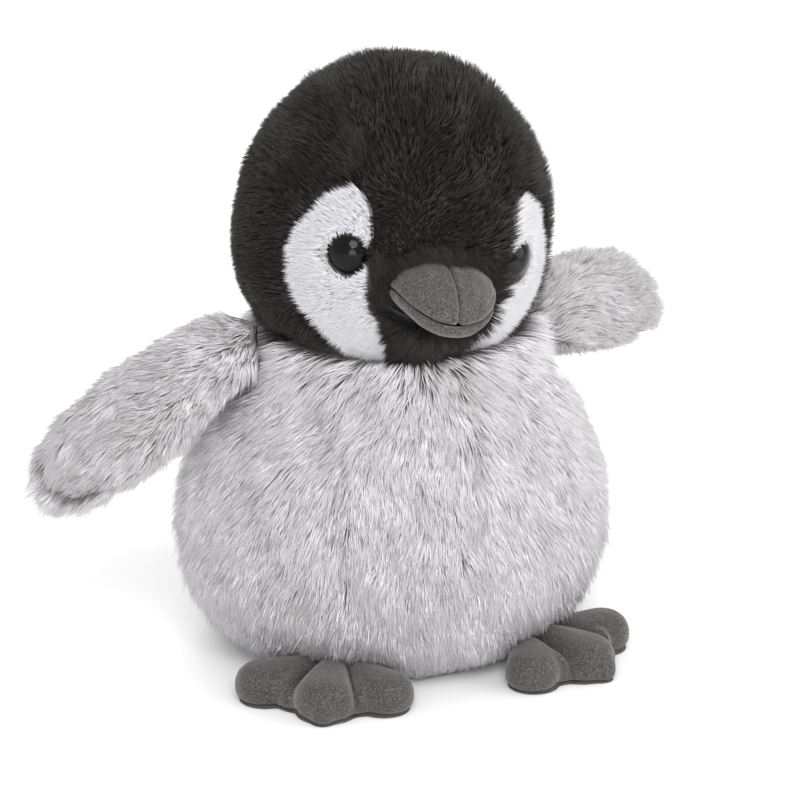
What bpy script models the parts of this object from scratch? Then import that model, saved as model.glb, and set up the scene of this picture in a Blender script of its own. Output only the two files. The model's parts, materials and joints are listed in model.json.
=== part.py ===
"""Sitting plush penguin chick, about 18 cm tall, as its sewn and stuffed pieces.

Metres, +Z up. The penguin faces -Y and its own right side is -X. The origin is
the centre of the flat base that it sits on. Every pile-fabric panel is a solid
as thick as its backing and standing pile together; the stuffing lies inside.
"""
import bmesh
import bpy
from math import acos, asin, atan2, cos, degrees, hypot, pi, radians, sin, sqrt
from mathutils import Matrix, Vector

for old in list(bpy.data.objects):
    bpy.data.objects.remove(old, do_unlink=True)

MM = 0.001
UP = Vector((0.0, 0.0, 1.0))

# ------------------------------------------------------------ driving sizes
PILE_BODY = 5.0 * MM        # backing plus laid pile of the long grey plush
PILE_HEAD = 4.5 * MM        # backing plus pile of the short head plush
SKIN = 1.2 * MM             # suede knit of beak and feet
GAP = 0.6 * MM              # clearance between panels and what they cover
ROUND_GAP = 1.9 * MM        # the same inside the round head, whose panels have long facets
SEAM = 0.3 * MM             # half the clearance along a seam
HEAD_SEAM = 0.5 * MM        # the same along the curved seams of the head

TORSO_CENTRE = Vector((0.0, 0.0, 46.0)) * MM
TORSO_PROFILE = [           # elevation seen from the torso centre (deg), radius
    (-47.6, 62.3), (-45.0, 62.6), (-38.0, 64.2), (-31.0, 65.1), (-24.0, 65.3),
    (-12.0, 64.3), (0.0, 62.8), (14.0, 60.5), (26.0, 59.0), (38.0, 59.2),
    (46.0, 60.8), (54.2, 65.0), (90.0, 65.0)]
TORSO_LOW, TORSO_HIGH, TORSO_ROWS = -47.4, 54.2, 11
TORSO_DEPTH = 0.88          # front-to-back size over side-to-side size
BASE_THICK = 3.0 * MM
BASE_RADIUS = 41.4 * MM
BAG_RADIUS, BAG_RISE = 29.5 * MM, 14.0 * MM        # pellet bag
BAG_FLOOR = BASE_THICK + 0.5 * MM
HOLLOW_WIDE, HOLLOW_TALL = 31.2 * MM, 16.5 * MM    # room for it in the stuffing
DENT_DEPTH, DENT_RISE = 14.8 * MM, 15.0 * MM       # where a flipper's root sits
SIDE_SEAM_DEG = 90.0        # bearing of the side seams from the front

HEAD_CENTRE = Vector((0.0, 0.0, 132.0)) * MM
HEAD_RADIUS = 44.8 * MM
HEAD_PROFILE = [            # elevation seen from the head centre (deg), radius
    (-90, 49.8), (-38, 49.6), (-28, 48.3), (-18, 46.4), (-8, 44.9), (2, 43.9), (12, 43.3),
    (24, 42.8), (38, 42.5), (50, 42.7), (62, 43.2), (76, 44.0), (90, 44.3)]
HEAD_ROLL = radians(9.0)
RIM_DEG = -48.0             # lower rim of the head panels
NECK_INNER, NECK_OUTER, NECK_RADIUS = 50.9 * MM, 53.2 * MM, 30.0 * MM
NECK_DISH = 53.8 * MM

PATCH_INNER = [              # edges of a face patch: elevation, bearing (deg)
    (-48, 13), (-38, 15), (-32, 18.5), (-26, 23), (-20, 26), (-13, 27), (-6, 28),
    (4, 29), (12, 31.5), (18, 36.5)]
PATCH_OUTER = [
    (-48, 30), (-38, 42), (-31, 51), (-22, 58), (-12, 60.5), (-2, 58.5), (8, 52),
    (14, 46), (18, 38.5)]
PATCH_TOP_DEG = 18.0
GUSSET_HALF, GUSSET_NAPE_HALF = 0.575, 0.21   # sine of its half width, crown and nape
GUSSET_START, GUSSET_END = -5.5, 217.5        # angle over the head from the front (deg)
CHIN_START, CHIN_END = 158.0, 382.0           # bearings round the beak (deg)

EYE_BEARING, EYE_ELEVATION = radians(37.5), radians(-7.5)
EYE_RADIUS, EYE_BASE, EYE_HEIGHT = 7.0 * MM, 39.9 * MM, 5.9 * MM
EYE_RIM = 1.0 * MM           # straight edge below the dome
EYE_STEM, EYE_STEM_END = 1.7 * MM, 34.2 * MM
EYE_HOLE = 7.4 * MM

BEAK_CENTRE = Vector((0.0, -42.4, -15.9)) * MM     # from the head centre
BEAK_HALF_WIDTH, BEAK_REACH = 15.8 * MM, 16.0 * MM
BEAK_RISE, BEAK_DROP = 10.7 * MM, 7.7 * MM

FLIPPER_LENGTH, FLIPPER_ROOT = 67.0 * MM, 12.0 * MM
FLIPPER_MID, FLIPPER_TIP = 16.6 * MM, 15.4 * MM
FLIPPER_THICK = 11.4 * MM
FLIPPER_TWIST = radians(35.0)
FLIPPERS = {                # side: shoulder, angle below level, sweep back
    "right": (Vector((-50.0, 2.0, 94.5)) * MM, radians(36.0), radians(8.0)),
    "left": (Vector((47.5, 3.0, 90.5)) * MM, radians(7.0), radians(40.0))}

FOOT_HEEL = Vector((28.8, -30.2, 0.0)) * MM        # left foot; the right mirrors it
FOOT_SPLAY = radians(32.0)
FOOT_HEIGHT = 12.0 * MM
HEEL_EDGE = 2.0 * MM
FOOT_EDGE = 2.2 * MM         # height of the upper along its seam to the sole
SOLE_THICK = 1.0 * MM
TOES = [                    # from, to (sideways, forward) and radius, mm
    ((0.0, 8.0), (-18.0, 15.0), 7.5), ((0.5, 8.0), (1.5, 24.5), 8.9),
    ((0.0, 8.0), (16.6, 15.5), 7.2), ((-5.0, 9.5), (6.0, 9.5), 7.8)]

TAIL_HINGE = Vector((0.0, 52.2, 15.0)) * MM
TAIL_HALF_WIDTH, TAIL_THICK = 10.0 * MM, 4.6 * MM
TAIL_DROP = radians(10.0)


# ------------------------------------------------------------ small helpers
def table(points, x):
    """Straight-line interpolation in a list of (x, y) pairs sorted by x."""
    if x <= points[0][0]:
        return points[0][1]
    for (x0, y0), (x1, y1) in zip(points, points[1:]):
        if x <= x1:
            return y0 + (y1 - y0) * (x - x0) / (x1 - x0)
    return points[-1][1]


def smooth(x):
    x = min(max(x, 0.0), 1.0)
    return x * x * (3.0 - 2.0 * x)


def material(name, colour, roughness):
    made = bpy.data.materials.new(name)
    made.use_nodes = True
    shader = made.node_tree.nodes["Principled BSDF"]
    shader.inputs["Base Color"].default_value = (*colour, 1.0)
    shader.inputs["Roughness"].default_value = roughness
    shader.inputs["Metallic"].default_value = 0.0
    return made


LOOKS = {
    "grey_plush": ((0.58, 0.57, 0.60), 0.95), "black_plush": ((0.025, 0.022, 0.019), 0.9),
    "white_plush": ((0.80, 0.80, 0.83), 0.95), "grey_suede": ((0.11, 0.105, 0.10), 0.95),
    "eye_plastic": ((0.02, 0.012, 0.008), 0.08), "washer_plastic": ((0.75, 0.75, 0.72), 0.45),
    "fibre_fill": ((0.88, 0.88, 0.86), 1.0), "pellet_cloth": ((0.75, 0.73, 0.68), 0.9),
    "thread": ((0.05, 0.05, 0.05), 0.7), "label_satin": ((0.85, 0.85, 0.85), 0.5)}


def node(name, points, faces, look, parent=None):
    """One closed body from a list of points and faces, coloured by its look."""
    mesh = bpy.data.meshes.new(name)
    mesh.from_pydata([tuple(p) for p in points], [], faces)
    work = bmesh.new()
    work.from_mesh(mesh)
    bmesh.ops.recalc_face_normals(work, faces=work.faces)
    if work.calc_volume(signed=True) < 0.0:
        bmesh.ops.reverse_faces(work, faces=work.faces)
    work.to_mesh(mesh)
    work.free()
    mesh.shade_smooth()
    mesh.set_sharp_from_angle(angle=radians(50.0))
    made = bpy.data.objects.new(name, mesh)
    made.data.materials.append(material(name, *LOOKS[look]))
    made.parent = parent
    bpy.context.collection.objects.link(made)
    return made


def pivot(name, place, rotation=None):
    """An empty on a joint's axis that carries the pieces of one body."""
    made = bpy.data.objects.new(name, None)
    turn = rotation.to_4x4() if rotation else Matrix.Identity(4)
    made.matrix_world = Matrix.Translation(place) @ turn
    bpy.context.collection.objects.link(made)
    return made


def polar_shell(name, outer, inner, look, parent=None, spokes=20, rings=3):
    """Solid between two discs; outer and inner give a point for (bearing, 0 to 1).

    spokes is how many bearings share the circle evenly, or a list of bearings.
    """
    bearings = spokes if isinstance(spokes, list) else [2 * pi * k / spokes for k in range(spokes)]
    spokes = len(bearings)
    points, faces = [], []
    for surface in (outer, inner):
        points.append(surface(0.0, 0.0))
        for ring in range(1, rings + 1):
            for bearing in bearings:
                points.append(surface(bearing, ring / rings))
    half = 1 + rings * spokes
    for start, order in ((0, 1), (half, -1)):
        for spoke in range(spokes):
            follow = (spoke + 1) % spokes
            first = start + 1
            faces.append([start, first + spoke, first + follow][::order])
            for ring in range(rings - 1):
                near = first + ring * spokes
                far = near + spokes
                faces.append([near + spoke, far + spoke, far + follow, near + follow][::order])
    edge = 1 + (rings - 1) * spokes
    for spoke in range(spokes):
        follow = (spoke + 1) % spokes
        faces.append([edge + spoke, half + edge + spoke, half + edge + follow, edge + follow])
    return node(name, points, faces, look, parent)


def grid_shell(name, outer, inner, look, parent=None, across=10, along=10):
    """Solid between two four-sided patches; outer and inner take u and v, 0 to 1."""
    points, faces = [], []
    for surface in (outer, inner):
        for row in range(along + 1):
            for column in range(across + 1):
                points.append(surface(column / across, row / along))
    width = across + 1
    half = width * (along + 1)
    for start, order in ((0, 1), (half, -1)):
        for row in range(along):
            for column in range(across):
                a = start + row * width + column
                faces.append([a, a + 1, a + 1 + width, a + width][::order])
    border = list(range(across)) + [across + r * width for r in range(along)]
    border += [along * width + c for c in range(across, 0, -1)]
    border += [r * width for r in range(along, 0, -1)]
    for a, b in zip(border, border[1:] + border[:1]):
        faces.append([b, a, half + a, half + b])
    return node(name, points, faces, look, parent)


def lathe(name, profile, look, parent=None, frame=None, spokes=24, closed=False):
    """Turn (radius, height) pairs about frame's Z; a closed profile makes a ring."""
    frame = frame or Matrix.Identity(4)
    points, faces, rows = [], [], []
    for radius, height in profile:
        if radius < 1e-7:
            rows.append([len(points)])
            points.append(frame @ Vector((0.0, 0.0, height)))
            continue
        rows.append(list(range(len(points), len(points) + spokes)))
        for spoke in range(spokes):
            turn = 2 * pi * spoke / spokes
            points.append(frame @ Vector((radius * cos(turn), radius * sin(turn), height)))
    pairs = list(zip(rows, rows[1:])) + ([(rows[-1], rows[0])] if closed else [])
    for low, high in pairs:
        for spoke in range(spokes):
            follow = (spoke + 1) % spokes
            if len(low) == 1:
                faces.append([low[0], high[follow], high[spoke]])
            elif len(high) == 1:
                faces.append([low[spoke], low[follow], high[0]])
            else:
                faces.append([low[spoke], low[follow], high[follow], high[spoke]])
    return node(name, points, faces, look, parent)


def tube(name, route, radius, look, parent=None):
    """A thread: a curve with a round bevel and filled caps."""
    curve = bpy.data.curves.new(name, "CURVE")
    curve.dimensions = "3D"
    curve.bevel_depth = radius
    curve.bevel_resolution = 1
    curve.use_fill_caps = True
    spline = curve.splines.new("POLY")
    spline.points.add(len(route) - 1)
    for point, place in zip(spline.points, route):
        point.co = (*place, 1.0)
    made = bpy.data.objects.new(name, curve)
    made.data.materials.append(material(name, *LOOKS[look]))
    made.parent = parent
    bpy.context.collection.objects.link(made)
    return made


def cut(target, name, profile, frame, parent=None):
    """Boolean away a turned cutter, which stays in the file as a guide."""
    cutter = lathe(name, profile, "thread", parent, frame, spokes=20)
    cutter.hide_render = True
    cutter.display_type = "WIRE"
    hole = target.modifiers.new(name, "BOOLEAN")
    hole.operation = "DIFFERENCE"
    hole.solver = "EXACT"
    hole.object = cutter


def first_exit(start, bearing, inside, step=radians(0.5)):
    """Angle from start, along bearing, at which a direction leaves a zone."""
    side = start.cross(UP if abs(start.z) < 0.95 else Vector((1.0, 0.0, 0.0))).normalized()
    up = side.cross(start)
    tangent = side * cos(bearing) + up * sin(bearing)
    angle = 0.0
    while angle < pi * 0.9 and inside(start * cos(angle) + tangent * sin(angle)):
        angle += step
    low, high = angle - step, angle
    for _ in range(12):
        middle = 0.5 * (low + high)
        if inside(start * cos(middle) + tangent * sin(middle)):
            low = middle
        else:
            high = middle
    return tangent, low


def direction(bearing, elevation):
    """Unit vector; bearing 0 is the front (-Y) and grows towards +X."""
    level = cos(elevation)
    return Vector((level * sin(bearing), -level * cos(bearing), sin(elevation)))


def ball(levels, spokes, place):
    """Points and faces of a closed round body; levels are elevations, pole to pole."""
    points, faces = [], []
    for level in levels:
        for spoke in range(spokes if abs(level) < 90.0 else 1):
            ray = direction(2 * pi * spoke / spokes, radians(level))
            points.append(place(ray, level))
    last = len(points) - 1
    for spoke in range(spokes):
        follow = (spoke + 1) % spokes
        faces.append([0, 1 + follow, 1 + spoke])
        faces.append([last, last - spokes + spoke, last - spokes + follow])
        for row in range(len(levels) - 3):
            low = 1 + row * spokes
            faces.append([low + spoke, low + follow, low + spokes + follow, low + spokes + spoke])
    return points, faces


# ------------------------------------------------------------ torso
def shoulder_dent(ray):
    """Largest radius along ray that leaves room for a flipper's root."""
    limit = 1.0   # farther than any profile radius
    for place, _, _ in FLIPPERS.values():
        toward = place - TORSO_CENTRE
        off = degrees(acos(max(-1.0, min(1.0, ray.dot(toward.normalized())))))
        spread = 16.0 if ray.z > toward.normalized().z else 21.0
        limit = min(limit, toward.length - DENT_DEPTH + DENT_RISE * (off / spread) ** 2)
    return limit


def squeeze(point):
    """Flatten the torso front to back, less and less towards the neck."""
    share = TORSO_DEPTH + (1.0 - TORSO_DEPTH) * smooth((point.z - 55 * MM) / (38 * MM))
    return Vector((point.x, point.y * share, point.z))


def torso_point(bearing, elevation, depth):
    ray = direction(bearing, elevation)
    radius = min(table(TORSO_PROFILE, degrees(elevation)) * MM, shoulder_dent(ray))
    return squeeze(TORSO_CENTRE + ray * (radius - depth))


def torso_panel(name, first, last, across):
    """Grey plush panel between two bearings, from the base seam to the neck seam."""
    lean = SEAM / (60 * MM)

    def surface(depth):
        def at(u, v):
            bearing = radians(first) + lean + u * (radians(last - first) - 2 * lean)
            elevation = radians(TORSO_LOW + v * (TORSO_HIGH - TORSO_LOW))
            return torso_point(bearing, elevation, depth)
        return at
    grid_shell(name, surface(0.0), surface(PILE_BODY), "grey_plush", None, across, TORSO_ROWS)


def pellet_height(radius):
    return BAG_FLOOR + BAG_RISE * sqrt(max(0.0, 1.0 - (radius / BAG_RADIUS) ** 2))


def stuffing_radius(level, ray):
    """Torso stuffing: inside the panels, under the neck dish, over the pellet bag."""
    reach = min(table(TORSO_PROFILE, level) * MM, shoulder_dent(ray))
    reach -= PILE_BODY + GAP
    if shoulder_dent(ray) < 74.0 * MM:
        reach -= 11 * GAP
    lift = (HEAD_CENTRE - TORSO_CENTRE).length
    along = lift * ray.z
    under = along * along - lift * lift + NECK_DISH ** 2
    if ray.z > 0.5 and under > 0.0:
        reach = min(reach, along - sqrt(under))
    if ray.z < -0.2:
        reach = min(reach, (TORSO_CENTRE.z - BASE_THICK - GAP) / -ray.z)
        drop = TORSO_CENTRE.z - BASE_THICK
        a = (1 - ray.z ** 2) / HOLLOW_WIDE ** 2 + ray.z ** 2 / HOLLOW_TALL ** 2
        b = drop * ray.z / HOLLOW_TALL ** 2
        c = drop ** 2 / HOLLOW_TALL ** 2 - 1.0
        if b * b > a * c:
            reach = min(reach, (-b - sqrt(b * b - a * c)) / a)
    return reach


def torso():
    torso_panel("body_front_panel", -SIDE_SEAM_DEG, SIDE_SEAM_DEG, 18)
    torso_panel("body_back_panel_left", SIDE_SEAM_DEG, 180.0, 9)
    torso_panel("body_back_panel_right", 180.0, 360.0 - SIDE_SEAM_DEG, 9)

    def disc(radius, height):
        def at(turn, s):
            return squeeze(Vector((radius * s * cos(turn), radius * s * sin(turn), height)))
        return at
    polar_shell("body_base_panel", disc(BASE_RADIUS, 0.0),
                disc(BASE_RADIUS - BASE_THICK, BASE_THICK), "grey_plush", spokes=40, rings=1)

    step = (TORSO_HIGH - TORSO_LOW) / TORSO_ROWS
    levels = [-90.0, -80.0, -70.0, -60.0, -53.0]
    levels += [TORSO_LOW + step * row for row in range(TORSO_ROWS + 1)]
    levels += [60.0, 67.0, 75.0, 90.0]
    points, faces = ball(levels, 36, lambda ray, level: squeeze(
        TORSO_CENTRE + ray * stuffing_radius(level, ray)))
    node("body_stuffing", points, faces, "fibre_fill")

    bag = [(0.0, BAG_FLOOR), (BAG_RADIUS * 0.6, BAG_FLOOR), (BAG_RADIUS, BAG_FLOOR)]
    for climb in (22, 45, 68):
        radius = BAG_RADIUS * cos(radians(climb))
        bag.append((radius, pellet_height(radius)))
    bag.append((0.0, pellet_height(0.0)))
    flat = Matrix.Diagonal((1.0, TORSO_DEPTH, 1.0, 1.0))
    lathe("pellet_bag", bag, "pellet_cloth", frame=flat, spokes=26)

    stitches = []
    for index in range(11):
        height = (52.0 + 2.4 * index) * MM
        elevation = asin((height - TORSO_CENTRE.z) / (61.5 * MM))
        place = torso_point(pi, elevation, -0.9 * MM)
        stitches.append(place + Vector((1.5 * MM * (-1) ** index, 0.0, 0.0)))
    tube("closing_thread", stitches, 0.35 * MM, "thread")

    label = torso_point(pi, radians(-7.0), -0.6 * MM)
    size = Vector((0.5, 11.0, 14.0)) * MM
    corners = [label + Vector((x * size.x, y * size.y, z * size.z))
               for x in (-0.5, 0.5) for y in (0.0, 1.0) for z in (-0.5, 0.5)]
    sides = [(0, 1, 3, 2), (4, 6, 7, 5), (0, 4, 5, 1), (2, 3, 7, 6), (0, 2, 6, 4), (1, 5, 7, 3)]
    node("care_label", corners, sides, "label_satin")


def pad(name, carrier, centre, inside, lift, look, skin):
    """Two dished covers and their filling, on an outline that inside() bounds.

    The outline lies in the carrier's XY plane; lift(x, y, s) is half the
    thickness at a point that is s of the way from the centre to the outline.
    """
    reach = {}

    def edge(turn):
        key = round(turn, 6)
        if key not in reach:
            low, high = 0.0, 120.0 * MM
            for _ in range(40):
                middle = 0.5 * (low + high)
                spot = centre + Vector((cos(turn), sin(turn))) * middle
                if inside(spot.x, spot.y):
                    low = middle
                else:
                    high = middle
            reach[key] = low
        return reach[key]

    def surface(side, depth):
        def at(turn, s):
            far = edge(turn)
            span = far - depth
            spot = centre + Vector((cos(turn), sin(turn))) * span * s
            share = span * s / far
            rise = max(lift(spot.x, spot.y, share) - depth, 0.0)
            return Vector((spot.x, spot.y, side * (SEAM + rise)))
        return at

    def core(side):
        def at(turn, s):
            point = surface(side, skin + GAP)(turn, s)
            return Vector((point.x, point.y, side * max(abs(point.z) - SEAM, 0.35 * MM * s)))
        return at
    polar_shell(name[0], surface(1, 0.0), surface(1, skin), look, carrier)
    polar_shell(name[1], surface(-1, 0.0), surface(-1, skin), look, carrier)
    polar_shell(name[2], core(1), core(-1), "fibre_fill", carrier)


# ------------------------------------------------------------ head
def head_radius(ray):
    return table(HEAD_PROFILE, degrees(asin(max(-1.0, min(1.0, ray.z))))) * MM


def head_zone(ray):
    """Name of the panel that covers a direction from the head centre."""
    elevation = degrees(asin(max(-1.0, min(1.0, ray.z))))
    if elevation < RIM_DEG:
        return "neck"
    bearing = degrees(atan2(ray.x, -ray.y))
    side = "left" if ray.x > 0 else "right"
    spot = ray * head_radius(ray)
    tall = 11.6 * MM if spot.z > BEAK_CENTRE.z else 8.6 * MM
    if ray.y < 0 and hypot(spot.x / (16.5 * MM), (spot.z - BEAK_CENTRE.z) / tall) < 1.0:
        return "beak"
    if abs(bearing) < 90.0 and elevation <= PATCH_TOP_DEG:
        if abs(bearing) <= table(PATCH_INNER, elevation):
            return "gusset" if elevation > GUSSET_START else "chin"
        if abs(bearing) <= table(PATCH_OUTER, elevation):
            return "patch_" + side
        return "side_" + side
    turn = degrees(atan2(ray.z, -ray.y)) % 360.0
    half = GUSSET_HALF + (GUSSET_NAPE_HALF - GUSSET_HALF) * smooth((turn - 90.0) / 128.0)
    return "gusset" if abs(ray.x) < half else "side_" + side


def head_panel(name, zone, start, look, carrier, spokes=30, rings=5):
    reach = {}

    def surface(depth):
        def at(bearing, s):
            key = round(bearing, 6)
            if key not in reach:
                reach[key] = first_exit(start, bearing, lambda ray: head_zone(ray) == zone)
            tangent, angle = reach[key]
            angle = max(angle - HEAD_SEAM / HEAD_RADIUS, 0.002) * s
            ray = start * cos(angle) + tangent * sin(angle)
            return ray * (head_radius(ray) - depth)
        return at
    return polar_shell(name, surface(0.0), surface(PILE_HEAD), look, carrier, spokes, rings)


def gusset(carrier):
    """Strip from the top of the beak over the crown to the nape."""
    def surface(depth):
        def at(u, v):
            turn = radians(GUSSET_START + v * (GUSSET_END - GUSSET_START))
            start = Vector((0.0, -cos(turn), sin(turn)))
            bearing = 0.0 if u > 0.5 else pi
            sideways = Vector((cos(bearing), 0.0, 0.0))
            reach = 0.0
            inside = ("gusset", "beak", "neck")
            while head_zone(start * cos(reach) + sideways * sin(reach)) in inside:
                reach += radians(0.25)
            reach = (reach - HEAD_SEAM / HEAD_RADIUS) * abs(2.0 * u - 1.0)
            ray = start * cos(reach) + sideways * sin(reach)
            return ray * (head_radius(ray) - depth)
        return at
    grid_shell("head_gusset", surface(0.0), surface(PILE_HEAD), "black_plush", carrier, 8, 22)


def chin(carrier):
    """U-shaped piece that wraps the beak from one side to the other underneath."""
    middle = Vector((0.0, BEAK_CENTRE.y, BEAK_CENTRE.z)).normalized()
    reach = {}

    def surface(depth):
        def at(u, v):
            bearing = radians(CHIN_START + u * (CHIN_END - CHIN_START))
            side = middle.cross(UP).normalized()
            tangent = side * cos(bearing) + side.cross(middle) * sin(bearing)
            if u not in reach:
                start = 0.0
                while head_zone(middle * cos(start) + tangent * sin(start)) == "beak":
                    start += radians(0.25)
                end = start
                while head_zone(middle * cos(end) + tangent * sin(end)) == "chin":
                    end += radians(0.25)
                reach[u] = (start, end - 3 * HEAD_SEAM / HEAD_RADIUS)
            start, end = reach[u]
            angle = start + (max(end, start + radians(0.6)) - start) * v
            ray = middle * cos(angle) + tangent * sin(angle)
            return ray * (head_radius(ray) - depth)
        return at
    grid_shell("chin_panel", surface(0.0), surface(PILE_HEAD), "black_plush", carrier, 44, 3)


def beak_quarter(name, carrier, first, last, rise, across):
    """Skin over the part of the beak between two bearings, above or below the mouth."""
    def surface(depth):
        def at(u, v):
            turn = radians(first + (last - first) * u)
            climb = radians(1.5 + 86.5 * v)
            wide = BEAK_HALF_WIDTH - depth
            x = wide * cos(climb) * sin(turn)
            y = -(BEAK_REACH - depth) * cos(climb) * cos(turn)
            z = (abs(rise) - depth) * sin(climb) * (1 if rise > 0 else -1)
            split = 0.15 * MM if first >= 0 and last > 0 else 0.0
            if first < 0 and last <= 0:
                split = -0.15 * MM
            return BEAK_CENTRE + Vector((x + split, y, z))
        return at
    grid_shell(name, surface(0.0), surface(SKIN), "grey_suede", carrier, across, 6)


def head():
    roll = Matrix.Rotation(HEAD_ROLL, 3, "Y")
    carrier = pivot("head_pivot", HEAD_CENTRE, roll)
    gusset(carrier)
    chin(carrier)
    patches = {}
    for side, sign in (("left", 1), ("right", -1)):
        ear = direction(sign * radians(104.0), radians(4.0))
        head_panel("head_side_" + side, "side_" + side, ear, "black_plush", carrier, 48, 7)
        cheek = direction(sign * radians(47.0), radians(-11.0))
        patches[side] = head_panel(
            "face_patch_" + side, "patch_" + side, cheek, "white_plush", carrier, 64, 3)

    def filled(ray, level):
        cover = (PILE_HEAD + ROUND_GAP) * smooth((level + 76.0) / 14.0)
        return ray * (head_radius(ray) - cover)
    points, faces = ball([-90.0 + 12.0 * row for row in range(16)], 26, filled)
    filling = node("head_stuffing", points, faces, "fibre_fill", carrier)

    for side, sign in (("left", 1), ("right", -1)):
        out = direction(sign * EYE_BEARING, EYE_ELEVATION)
        frame = UP.rotation_difference(out).to_matrix().to_4x4()
        dome = [(0.0, EYE_STEM_END), (EYE_STEM, EYE_STEM_END), (EYE_STEM, EYE_BASE)]
        dome += [(EYE_RADIUS, EYE_BASE)]
        for climb in (0, 18, 36, 54, 72):
            height = EYE_RIM + (EYE_HEIGHT - EYE_RIM) * sin(radians(climb))
            dome.append((EYE_RADIUS * cos(radians(climb)), EYE_BASE + height))
        dome += [(0.0, EYE_BASE + EYE_HEIGHT)]
        lathe("eye_" + side, dome, "eye_plastic", carrier, frame)
        low, high = 36.4 * MM, 38.0 * MM
        ring = [(2.1 * MM, low), (6.2 * MM, low), (6.2 * MM, high), (2.1 * MM, high)]
        lathe("eye_washer_" + side, ring, "washer_plastic", carrier, frame, 24, True)
        hole = [(0.0, 30.0 * MM), (EYE_HOLE, 30.0 * MM), (EYE_HOLE, 60.0 * MM), (0.0, 60.0 * MM)]
        cut(patches[side], "eye_hole_" + side, hole, frame, carrier)
        pocket = [(0.0, 33.4 * MM), (EYE_HOLE, 33.4 * MM), (EYE_HOLE, 60.0 * MM), (0.0, 60.0 * MM)]
        cut(filling, "eye_pocket_" + side, pocket, frame, carrier)

    beak_quarter("beak_upper_left", carrier, 0.0, 90.0, BEAK_RISE, 8)
    beak_quarter("beak_upper_right", carrier, -90.0, 0.0, BEAK_RISE, 8)
    beak_quarter("beak_lower", carrier, -90.0, 90.0, -BEAK_DROP, 16)

    def core(front):
        def at(turn, s):
            x = (BEAK_HALF_WIDTH - SKIN - GAP) * s * cos(turn)
            tall = (BEAK_RISE if sin(turn) > 0 else BEAK_DROP) - SKIN - GAP
            dome = (BEAK_REACH - SKIN - GAP) * sqrt(max(0.0, 1.0 - s * s))
            y = -dome if front else 0.3 * MM
            return BEAK_CENTRE + Vector((x, y, tall * s * sin(turn)))
        return at
    polar_shell("beak_stuffing", core(True), core(False), "fibre_fill", carrier, 22, 3)


def neck():
    """Curved wad of stuffing between the torso's dish and the underside of the head."""
    carrier = pivot("neck_pivot", HEAD_CENTRE)

    def cap(radius):
        def at(turn, s):
            out = NECK_RADIUS * s
            return Vector((out * cos(turn), out * sin(turn), -sqrt(radius ** 2 - out ** 2)))
        return at
    polar_shell("neck_stuffing", cap(NECK_INNER), cap(NECK_OUTER), "fibre_fill", carrier, 22, 2)


# ------------------------------------------------------------ limbs and tail
def flipper_width(along):
    swell = smooth(along / (30.0 * MM))
    taper = smooth((along - 30.0 * MM) / (28.0 * MM))
    width = FLIPPER_ROOT + (FLIPPER_MID - FLIPPER_ROOT) * swell
    return width + (FLIPPER_TIP - FLIPPER_MID) * taper


def in_flipper(x, y):
    tip = FLIPPER_LENGTH - FLIPPER_TIP
    if x < 0.0:
        return hypot(x, y) < FLIPPER_ROOT
    if x > tip:
        return hypot(x - tip, y) < FLIPPER_TIP
    return abs(y) < flipper_width(x)


def flippers():
    for side, (shoulder, dip, sweep) in FLIPPERS.items():
        sign = 1 if side == "left" else -1
        out = Vector((sign * cos(dip) * cos(sweep), cos(dip) * sin(sweep), -sin(dip)))
        level = out.cross(UP).normalized() * -sign
        front = -level if level.y > 0 else level
        top = out.cross(front)
        top = top if top.z > 0 else -top
        top = top * cos(FLIPPER_TWIST) + front * sin(FLIPPER_TWIST)
        frame = Matrix((out, top.cross(out), top)).transposed()
        carrier = pivot("flipper_pivot_" + side, shoulder, frame)

        def lift(x, y, s):
            return FLIPPER_THICK * sqrt(max(0.0, 1.0 - s ** 2.4))
        names = ["flipper_%s_%s" % (part, side) for part in ("outer", "inner", "stuffing")]
        middle = Vector((27.0, 0.0)) * MM
        pad(names, carrier, middle, in_flipper, lift, "grey_plush", PILE_BODY * 0.8)


def in_capsule(x, y, start, end, radius):
    ax, ay = start[0] * MM, start[1] * MM
    dx, dy = end[0] * MM - ax, end[1] * MM - ay
    share = ((x - ax) * dx + (y - ay) * dy) / (dx * dx + dy * dy)
    share = min(max(share, 0.0), 1.0)
    return hypot(x - ax - share * dx, y - ay - share * dy) < radius * MM


def foot_top(y, s):
    """Height of a foot: a dome that thins to a wedge at the heel, under the belly."""
    ramp = smooth((y - HEEL_EDGE) / (12.5 * MM))
    return FOOT_EDGE + (FOOT_HEIGHT - FOOT_EDGE) * sqrt(max(0.0, 1.0 - s ** 3)) * ramp


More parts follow.
